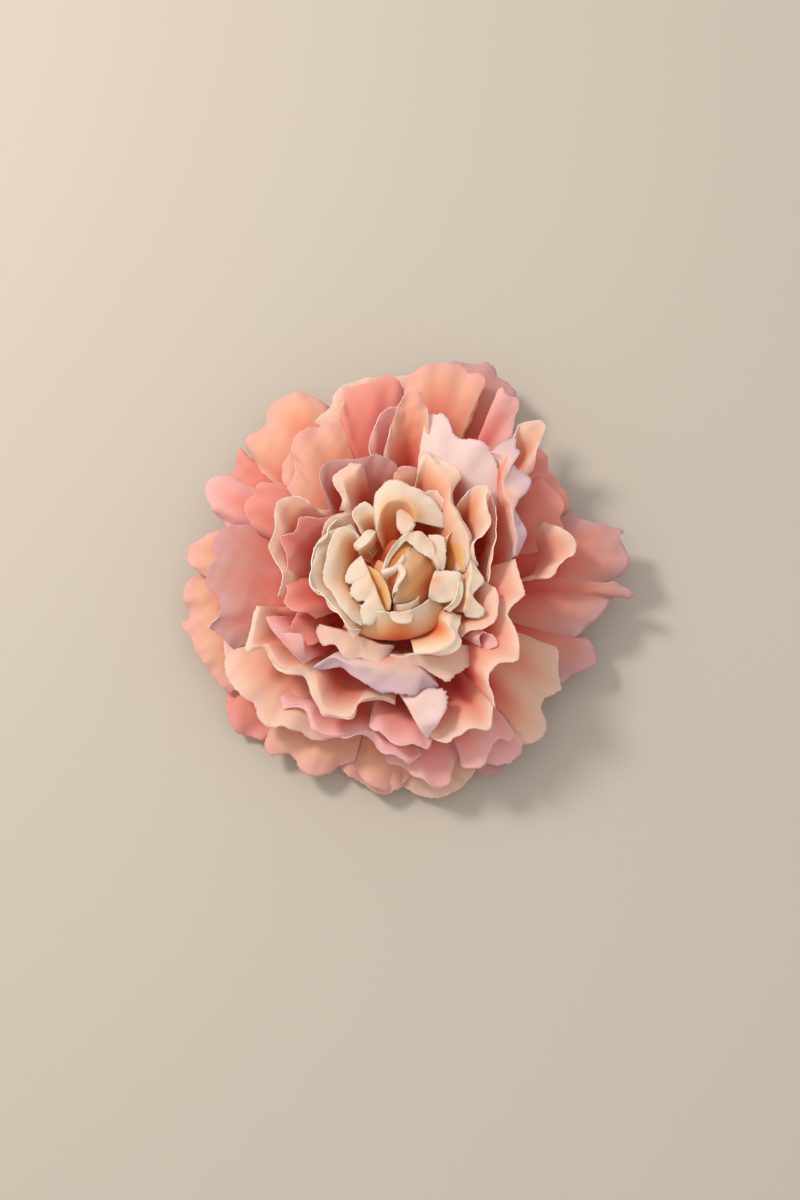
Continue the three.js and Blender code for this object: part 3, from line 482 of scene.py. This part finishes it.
COLUMNS_PER_MM = 2.4
MIN_COLUMNS = 48
MAX_COLUMNS = 170
ROWS = 26
ROW_CROWDING = 1.3  # above 1, rows lie closer together towards the free edge
ROOT_RADIUS = 4.5
FOOT_RADIUS = 7
FOOT_RISE = 0.6
SMOOTHING = 0.55  # how quickly waves in the edge die away towards the foot
BROADEST = 0.16  # the most that an edge is smoothed, as a share of its length
FOLD_SAG = 0.2
CLOTH = 0.16  # thickness
FRAY = 1 / 3  # how far the cut edge's threads stray, as a share of the last row's step
WAVE_LENGTH = 14
RUFFLE_LENGTH = 9
RUFFLE_DEPTH = 0.45
BUCKLE_LENGTH = 20
BUCKLE_DEPTH = 1.15
CREASE_SPACING = 7
CREASE_DEPTH = 0.2
CREASES = 6
CREASE_ROUNDING = 0.04
BED_GAP = 0.15
BED_SLOPE = 1.3
BED_BLEND = 0.7
LEVER_REACH = 28
LEVER_HALF_WIDTH = 5


def smooth(values, width):
    """values, averaged along their first axis over about width entries, with the ends held."""
    reach = int(min(max(width * 2, 1), len(values) - 1))
    weights = np.exp(-0.5 * (np.arange(-reach, reach + 1) / max(width, 0.5)) ** 2)
    weights /= weights.sum()
    padded = np.concatenate([
        2 * values[:1] - values[reach:0:-1],
        values,
        2 * values[-1:] - values[-2:-reach - 2:-1],
    ])
    return np.stack([np.convolve(padded[:, i], weights, "valid") for i in range(values.shape[1])], axis=1)


def spline(points, steps=24):
    """A Catmull-Rom curve through the points."""
    p = np.vstack([2 * points[0] - points[1], points, 2 * points[-1] - points[-2]])
    t = np.linspace(0, 1, steps, endpoint=False)[:, None]
    pieces = []
    for a, b, c, d in zip(p, p[1:], p[2:], p[3:]):
        bend = 2 * a - 5 * b + 4 * c - d
        twist = 3 * b - a - 3 * c + d
        pieces.append(0.5 * (2 * b + (c - a) * t + bend * t**2 + twist * t**3))
    return np.vstack([*pieces, points[-1:]])


def spline_weights(controls, places):
    """The weight of each control point of a clamped cubic B-spline, [place][control]."""
    spans = controls - 3
    knots = np.concatenate([np.zeros(3), np.linspace(0, 1, spans + 1), np.ones(3)])
    places = np.clip(places, 0, 1 - 1e-9)
    weights = [((knots[i] <= places) & (places < knots[i + 1])).astype(float) for i in range(len(knots) - 1)]
    for degree in (1, 2, 3):
        shares = [share(knots, i, degree, places) for i in range(len(weights))]
        weights = [
            shares[i] * weights[i] + (1 - shares[i + 1]) * weights[i + 1]
            for i in range(len(weights) - 1)
        ]
    return np.stack(weights, axis=1)


def share(knots, i, degree, places):
    """How far each place is along the spans that start at knot i."""
    gap = knots[i + degree] - knots[i]
    return (places - knots[i]) / gap if gap > 0 else np.zeros_like(places)


def waves(rng, across, length, wavelength):
    """A smooth random ripple of about unit height along an edge."""
    total = np.zeros_like(across)
    for k in (1, 2):
        cycles = length / wavelength * rng.uniform(0.8, 1.2) * (0.6 + 0.4 * k)
        total += np.sin(math.pi * cycles * across + rng.uniform(0, 2 * math.pi)) / k
    return total / 1.5


def creases(points, rng, spacing):
    """Soft random creases of about unit height through space, in mm."""
    total = np.zeros(points.shape[:-1])
    for _ in range(CREASES):
        way = rng.normal(size=3)
        way *= 2 * math.pi / (np.linalg.norm(way) * spacing * rng.uniform(0.7, 1.6))
        swing = np.sin(points @ way + rng.uniform(0, 2 * math.pi))
        total += np.sqrt(swing**2 + CREASE_ROUNDING) - 0.65
    return total / 1.2


def resample(points, count):
    """A smooth curve through points in the plane as count even steps, and its length."""
    flat = spline(np.array(points, float))
    run = np.concatenate([[0], np.cumsum(np.linalg.norm(np.diff(flat, axis=0), axis=1))])
    even = np.linspace(0, run[-1], count)
    return np.column_stack([np.interp(even, run, flat[:, i]) for i in (0, 1)]), run[-1]


def lifted(flat, z, level):
    """Points of the plane at this level, slid along the camera's sight lines to the heights z."""
    eye = np.array(EYE) / MM
    way = np.column_stack([flat, np.full(len(flat), level)]) - eye
    return eye + way * ((z - eye[2]) / (level - eye[2]))[:, None]


def above_bed(grid, hub_z, reach):
    """The grid, raised where it would run through what its layer lies on: the calyx or a collar, out to
    reach, and the clip's rear lever.
    """
    x, y, z = np.moveaxis(grid, 2, 0)
    radius = np.hypot(x, y)
    past_bed = np.maximum(radius - reach, 0)
    past_lever = np.hypot(np.maximum(-x - LEVER_REACH, 0), np.maximum(np.abs(y) - LEVER_HALF_WIDTH, 0))
    past = np.where(x < 0, np.minimum(past_bed, past_lever), past_bed)
    bed = hub_z + BED_GAP - BED_SLOPE * past
    gap = z - bed
    raised = bed + (gap + np.sqrt(gap**2 + BED_BLEND**2)) / 2
    outside_hub = np.clip((radius - ROOT_RADIUS) / (FOOT_RADIUS - ROOT_RADIUS), 0, 1)
    return np.stack([x, y, z + (raised - z) * outside_hub], axis=2)


def outwards(points):
    flat = points * (1, 1, 0)
    return flat / np.maximum(np.linalg.norm(flat, axis=1, keepdims=True), 1e-6)


def petal_surface(spec, hub_z, rng):
    """The petal's grid of points in mm, [row][column], from its foot to its free edge."""
    length = resample(spec["edge"], 50)[1]
    columns = int(np.clip(length * COLUMNS_PER_MM, MIN_COLUMNS, MAX_COLUMNS))
    across = np.linspace(-1, 1, columns)
    sink = spec["ends"] * np.abs(across) ** 3
    z = spec["height"] - sink + spec["ripple"] * waves(rng, across, length, WAVE_LENGTH)
    edge = lifted(resample(spec["edge"], columns)[0], z, spec["level"])
    controls = [edge]
    start = edge
    if "fold" in spec:
        fold_z = spec["fold_height"] - sink
        start = lifted(resample(spec["fold"], columns)[0], fold_z, spec["level"])
        turned = start - edge
        controls += [edge + turned * 0.45 - np.array([0, 0, FOLD_SAG]), edge + turned * 0.85, start]

    broadest = columns * BROADEST
    broad = smooth(start, broadest)
    away = outwards(broad)
    if "toward" in spec:
        turn = math.radians(spec["toward"])
        away = np.broadcast_to((math.cos(turn), math.sin(turn), 0), edge.shape)
    for out, up in PROFILES[spec["profile"]]:
        width = SMOOTHING * math.hypot(out, up) * columns / length
        controls.append(smooth(start, min(width, broadest)) + out * away + np.array([0, 0, up]))

    last = controls[-1]
    azimuth = np.unwrap(np.arctan2(last[:, 1], last[:, 0]))
    middle = (azimuth.max() + azimuth.min()) / 2
    root_azimuth = middle + (azimuth - middle) * spec["foot"]
    root_away = np.column_stack([np.cos(root_azimuth), np.sin(root_azimuth), np.zeros_like(across)])
    hub = np.array([0, 0, hub_z])
    controls.append(FOOT_RADIUS * root_away + hub + np.array([0, 0, FOOT_RISE]))
    controls.append(ROOT_RADIUS * root_away + hub)

    places = 1 - (1 - np.linspace(0, 1, ROWS)) ** ROW_CROWDING
    grid = np.einsum("pc,cnk->pnk", spline_weights(len(controls), places), np.array(controls[::-1]))

    ruffle = waves(rng, across, length, RUFFLE_LENGTH) * spec["ripple"] * RUFFLE_DEPTH
    buckle = waves(rng, across, length, BUCKLE_LENGTH) * spec["ripple"] * BUCKLE_DEPTH
    up_petal = places[:, None]
    crumple = creases(grid, rng, CREASE_SPACING) * CREASE_DEPTH
    lift = up_petal**5 * ruffle + up_petal**1.5 * (1 - up_petal) * buckle + up_petal * crumple
    grid = grid + normals(grid) * lift[..., None]
    grid = above_bed(grid, hub_z, spec["bed"])
    grid[-1] += (grid[-1] - grid[-2]) * FRAY * rng.uniform(-1, 1, (len(edge), 1))
    return grid


def normals(grid):
    n = np.cross(np.gradient(grid, axis=1), np.gradient(grid, axis=0))
    return n / np.maximum(np.linalg.norm(n, axis=2, keepdims=True), 1e-9)


def petal_colours(spec, grid, rng):
    """One linear colour for each point of the grid."""
    stops = np.array([linear(c) for c in DYES_AND_PAINTED_SHADES[spec["dye_and_shade"]]])
    steps = np.linalg.norm(np.diff(grid, axis=0), axis=2)
    from_edge = np.vstack([np.cumsum(steps[::-1], axis=0)[::-1], np.zeros(grid.shape[1])])
    drift = 1 + DYE_DRIFT * waves(rng, np.linspace(-1, 1, grid.shape[1]), *DYE_DRIFT_LENGTHS)
    lip = BROAD_LIP if spec["profile"] == "broad_lip" else 0
    if "fold" in spec:
        lip = math.dist(np.mean(spec["edge"], axis=0), np.mean(spec["fold"], axis=0))
    past_fold = np.where(from_edge < lip, LIP_FADE * from_edge, from_edge - (1 - LIP_FADE) * lip)
    place = past_fold / (spec["dye_reach"] * drift)
    return np.stack([np.interp(place, DYE_STOPS, stops[:, i]) for i in range(3)], axis=2)


# ---- meshes ----


class SheetBuilder:
    """Gathers a layer's petals and hub into one mesh, and adds up their fabric."""

    def __init__(self):
        self.points, self.faces, self.colours = [], [], []
        self.area = 0.0

    def add_grid(self, grid, colours, closed=False):
        rows, columns = grid.shape[:2]
        start = len(self.points)
        self.points += (grid.reshape(-1, 3) * MM).tolist()
        self.colours += colours.reshape(-1, 3).tolist()
        for r in range(rows - 1):
            for c in range(columns if closed else columns - 1):
                a, b = start + r * columns + c, start + r * columns + (c + 1) % columns
                self.faces.append((a, b, b + columns, a + columns))
        d1, d2 = grid[1:, 1:] - grid[:-1, :-1], grid[1:, :-1] - grid[:-1, 1:]
        self.area += np.linalg.norm(np.cross(d1, d2), axis=2).sum() / 2 * MM * MM

    def add_hub(self, z, colour):
        angles = np.linspace(0, 2 * math.pi, 40, endpoint=False)
        radii = np.linspace(HUB_HOLE, ROOT_RADIUS + 0.6, 5)
        r, a = np.meshgrid(radii, angles, indexing="ij")
        grid = np.stack([r * np.cos(a), r * np.sin(a), np.full_like(r, z)], axis=2)
        self.add_grid(grid, np.broadcast_to(linear(colour), grid.shape), closed=True)

    def build(self, name, materials):
        mesh = bpy.data.meshes.new(name)
        mesh.from_pydata(self.points, [], self.faces)
        dye_and_shade = mesh.attributes.new("dye_and_shade", "FLOAT_COLOR", "POINT")
        rgba = np.ones((len(self.colours), 4))
        rgba[:, :3] = self.colours
        dye_and_shade.data.foreach_set("color", rgba.ravel())
        mesh.shade_smooth()
        for m in materials:
            mesh.materials.append(m)
        obj = bpy.data.objects.new(name, mesh)
        bpy.context.scene.collection.objects.link(obj)
        cloth = obj.modifiers.new("cloth", "SOLIDIFY")
        cloth.thickness = CLOTH * MM
        cloth.offset = 0
        cloth.material_offset_rim = 1
        return obj


def make_layer(name, petals, shape, hub_z, seed, materials, node):
    builder = SheetBuilder()
    rng = np.random.default_rng(seed)
    for petal_spec in petals:
        spec = {**shape, **petal_spec}
        grid = petal_surface(spec, hub_z, rng)
        builder.add_grid(grid, petal_colours(spec, grid, rng))
    builder.add_hub(hub_z, DYES_AND_PAINTED_SHADES[petals[0]["dye_and_shade"]][-1])
    obj = builder.build(name, materials)
    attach(obj, "flower")
    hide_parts(node)
    return obj


# ---- materials ----


def new_material(name, roughness=0.5, metallic=0.0):
    material = bpy.data.materials.new(name)
    material.use_nodes = True
    tree = material.node_tree
    shader = tree.nodes["Principled BSDF"]
    shader.inputs["Roughness"].default_value = roughness
    shader.inputs["Metallic"].default_value = metallic
    return material, tree, shader


def link(tree, source, target):
    tree.links.new(source, target)


def add_bump(tree, shader, height, strength, distance):
    bump = tree.nodes.new("ShaderNodeBump")
    bump.inputs["Strength"].default_value = strength
    bump.inputs["Distance"].default_value = distance
    link(tree, height, bump.inputs["Height"])
    link(tree, bump.outputs["Normal"], shader.inputs["Normal"])


def noise(tree, scale, stretch=(1, 1, 1)):
    """Noise over the piece's own space, scale cells to a metre before it is stretched."""
    place = tree.nodes.new("ShaderNodeTexCoord")
    mapping = tree.nodes.new("ShaderNodeMapping")
    mapping.inputs["Scale"].default_value = stretch
    texture = tree.nodes.new("ShaderNodeTexNoise")
    texture.inputs["Scale"].default_value = scale
    link(tree, place.outputs["Object"], mapping.inputs["Vector"])
    link(tree, mapping.outputs["Vector"], texture.inputs["Vector"])
    return texture.outputs["Fac"]


def dye_and_shade_colour(tree):
    dye_and_shade = tree.nodes.new("ShaderNodeAttribute")
    dye_and_shade.attribute_name = "dye_and_shade"
    return dye_and_shade.outputs["Color"]


def silk_material():
    """Dyed polyester silk: matt, a little see-through, with a fine weave. Its colour comes from the petals'
    colour attribute, which also holds painted shade on some petals besides the dyes.
    """
    material, tree, shader = new_material("silk", roughness=0.75)
    dye_and_shade = dye_and_shade_colour(tree)
    link(tree, dye_and_shade, shader.inputs["Base Color"])
    shader.inputs["Sheen Weight"].default_value = 0.15
    shader.inputs["Sheen Roughness"].default_value = 0.5
    shader.inputs["Specular IOR Level"].default_value = 0.25
    add_bump(tree, shader, noise(tree, 3500), 0.25, 0.00005)
    through = tree.nodes.new("ShaderNodeBsdfTranslucent")
    link(tree, dye_and_shade, through.inputs["Color"])
    mix = tree.nodes.new("ShaderNodeMixShader")
    mix.inputs["Fac"].default_value = 0.42
    link(tree, shader.outputs["BSDF"], mix.inputs[1])
    link(tree, through.outputs["BSDF"], mix.inputs[2])
    link(tree, mix.outputs["Shader"], tree.nodes["Material Output"].inputs["Surface"])
    return material


def cut_edge_material():
    """The frayed cut edge, where the undyed threads show."""
    material, tree, shader = new_material("cut_edge", roughness=0.9)
    mix = tree.nodes.new("ShaderNodeMix")
    mix.data_type = "RGBA"
    mix.inputs["Factor"].default_value = 0.65
    mix.inputs["B"].default_value = (*linear(CUT_EDGE), 1)
    link(tree, dye_and_shade_colour(tree), mix.inputs["A"])
    link(tree, mix.outputs["Result"], shader.inputs["Base Color"])
    return material


def vary_colour(tree, shader, amount, low, high):
    mix = tree.nodes.new("ShaderNodeMix")
    mix.data_type = "RGBA"
    mix.inputs["A"].default_value = (*linear(low), 1)
    mix.inputs["B"].default_value = (*linear(high), 1)
    link(tree, amount, mix.inputs["Factor"])
    link(tree, mix.outputs["Result"], shader.inputs["Base Color"])


def vary_roughness(tree, shader, amount, low, high):
    spread = tree.nodes.new("ShaderNodeMapRange")
    spread.inputs["From Min"].default_value = 0.3
    spread.inputs["From Max"].default_value = 0.7
    spread.inputs["To Min"].default_value = low
    spread.inputs["To Max"].default_value = high
    link(tree, amount, spread.inputs["Value"])
    link(tree, spread.outputs["Result"], shader.inputs["Roughness"])


def steel_material():
    """Nickel-plated sheet steel, lightly brushed along the clip."""
    material, tree, shader = new_material("pressed_steel", metallic=1.0)
    brushed = noise(tree, 9000, (0.03, 1, 1))
    vary_colour(tree, shader, brushed, (176, 178, 182), (208, 210, 213))
    vary_roughness(tree, shader, brushed, 0.24, 0.42)
    add_bump(tree, shader, brushed, 0.15, 0.00003)
    return material


def wire_material():
    """Drawn spring wire, darker and finely scratched."""
    material, tree, shader = new_material("spring_wire", metallic=1.0)
    drawn = noise(tree, 5000)
    vary_colour(tree, shader, drawn, (122, 124, 128), (160, 162, 166))
    vary_roughness(tree, shader, drawn, 0.3, 0.5)
    return material


def felt_material():
    """Pressed felt: matt and fluffy."""
    material, tree, shader = new_material("felt", roughness=1.0)
    fibres = noise(tree, 2600)
    vary_colour(tree, shader, fibres, (214, 200, 182), (240, 230, 214))
    shader.inputs["Sheen Weight"].default_value = 0.4
    add_bump(tree, shader, fibres, 0.9, 0.0003)
    return material


def glue_material():
    """Cooled hot glue: smooth, cloudy and a little glossy."""
    material, tree, shader = new_material("hot_glue")
    cloud = noise(tree, 350)
    vary_colour(tree, shader, cloud, (218, 210, 190), (238, 234, 222))
    vary_roughness(tree, shader, cloud, 0.18, 0.35)
    add_bump(tree, shader, cloud, 0.3, 0.0003)
    return material


def moulded_material(name, low, high):
    """Moulded plastic with a satin skin."""
    material, tree, shader = new_material(name)
    skin = noise(tree, 1500)
    vary_colour(tree, shader, skin, low, high)
    vary_roughness(tree, shader, skin, 0.38, 0.55)
    add_bump(tree, shader, skin, 0.2, 0.0001)
    return material


def floor_material():
    material, tree, shader = new_material("floor", roughness=0.9)
    shader.inputs["Base Color"].default_value = (*linear((180, 171, 159)), 1)
    return material


# ---- stage ----


def make_stage():
    bpy.ops.mesh.primitive_plane_add(size=30, location=(0, 0, 0))
    floor = bpy.context.object
    floor.name = "floor"
    floor.data.materials.append(floor_material())


def make_light(name, kind, energy, location, target, size, colour):
    data = bpy.data.lights.new(name, kind)
    data.energy = energy
    data.color = colour
    data.size = size
    light = bpy.data.objects.new(name, data)
    light.location = location
    light.rotation_mode = "QUATERNION"
    light.rotation_quaternion = (Vector(target) - Vector(location)).to_track_quat("-Z", "Y")
    bpy.context.scene.collection.objects.link(light)


def make_lights():
    make_light("key", "AREA", 2.6, (-0.356, 0.231, 0.424), (0, 0, 0.01), 0.12, (1.0, 0.94, 0.87))
    world = bpy.data.worlds.new("world")
    bpy.context.scene.world = world
    world.use_nodes = True
    background = world.node_tree.nodes["Background"]
    background.inputs["Color"].default_value = (1.0, 0.97, 0.94, 1)
    background.inputs["Strength"].default_value = 0.9
    bpy.context.scene.view_settings.view_transform = "Standard"


# ---- assembly ----

FIRST_SEED = 10
HEART_SEED = 30

make_camera()
make_stage()
make_lights()

SILK = [silk_material(), cut_edge_material()]
for index, (name, petals, shape) in enumerate(LAYERS):
    group, place = name.split("_")
    node = f"{group}_petals_{place}"
    seed = FIRST_SEED + index
    make_layer(f"silk_{name}", petals, shape, hub_height(index), seed, SILK, node)
heart_z = hub_height(len(LAYERS) - 1) + HEART_RISE
make_layer("silk_heart", BUD, BUD_SHAPE, heart_z, HEART_SEED, SILK, "rolled_heart")

MILKY = moulded_material("clear_plastic", (214, 220, 208), (232, 235, 226))
STEEL = steel_material()
GLUE = glue_material()
CAD_MATERIALS = {
    "lower_jaw": STEEL,
    "upper_jaw": STEEL,
    "hinge_pin": STEEL,
    "torsion_spring": wire_material(),
    "felt_pad": felt_material(),
    "glue_bead_left": GLUE,
    "glue_bead_right": GLUE,
    "calyx": moulded_material("green_plastic", (88, 120, 62), (112, 146, 82)),
    "core_peg": MILKY,
    "spreader_collar_lower": MILKY,
    "spreader_collar_upper": MILKY,
}
for node, material in CAD_MATERIALS.items():
    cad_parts[node].data.materials.clear()
    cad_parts[node].data.materials.append(material)
